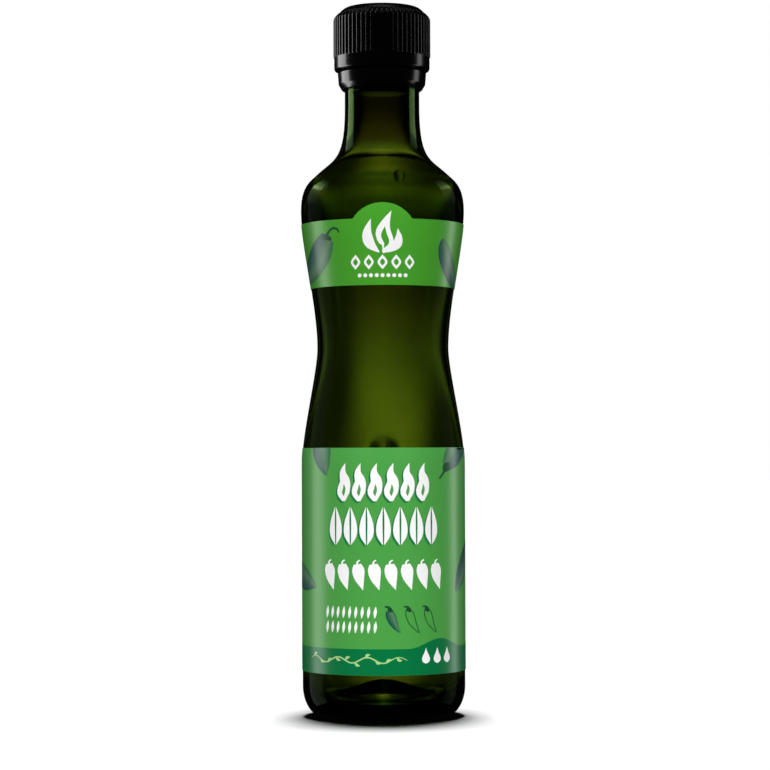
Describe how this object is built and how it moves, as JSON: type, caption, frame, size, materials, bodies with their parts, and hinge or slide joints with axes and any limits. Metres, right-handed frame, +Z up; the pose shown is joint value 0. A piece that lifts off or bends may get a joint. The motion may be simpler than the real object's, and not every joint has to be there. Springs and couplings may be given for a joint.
{
  "type": "hot sauce bottle",
  "caption": "Small waisted bottle of dark green glass, filled with green hot sauce, with a ribbed screw cap, a tamper band and wrap-round labels.",
  "frame": {"origin": "centre of the ring that the bottle stands on", "axes": "+Z up along the bottle's axis, -Y towards the front of the labels, +X to the right as seen from the front"},
  "size_m": [0.032, 0.032, 0.138],
  "materials": {
    "glass": "dark olive-green bottle glass, fire polished",
    "sauce": "thin green chilli sauce, seen through the glass",
    "cap": "black moulded plastic, satin gloss",
    "label": "printed film in two greens, semi-gloss"
  },
  "bodies": {
    "root": {"glass_bottle": "glass", "sauce": "sauce", "screw_cap": "cap", "tamper_band": "cap", "shoulder_label": "label", "body_label": "label"}
  },
  "joints": []
}
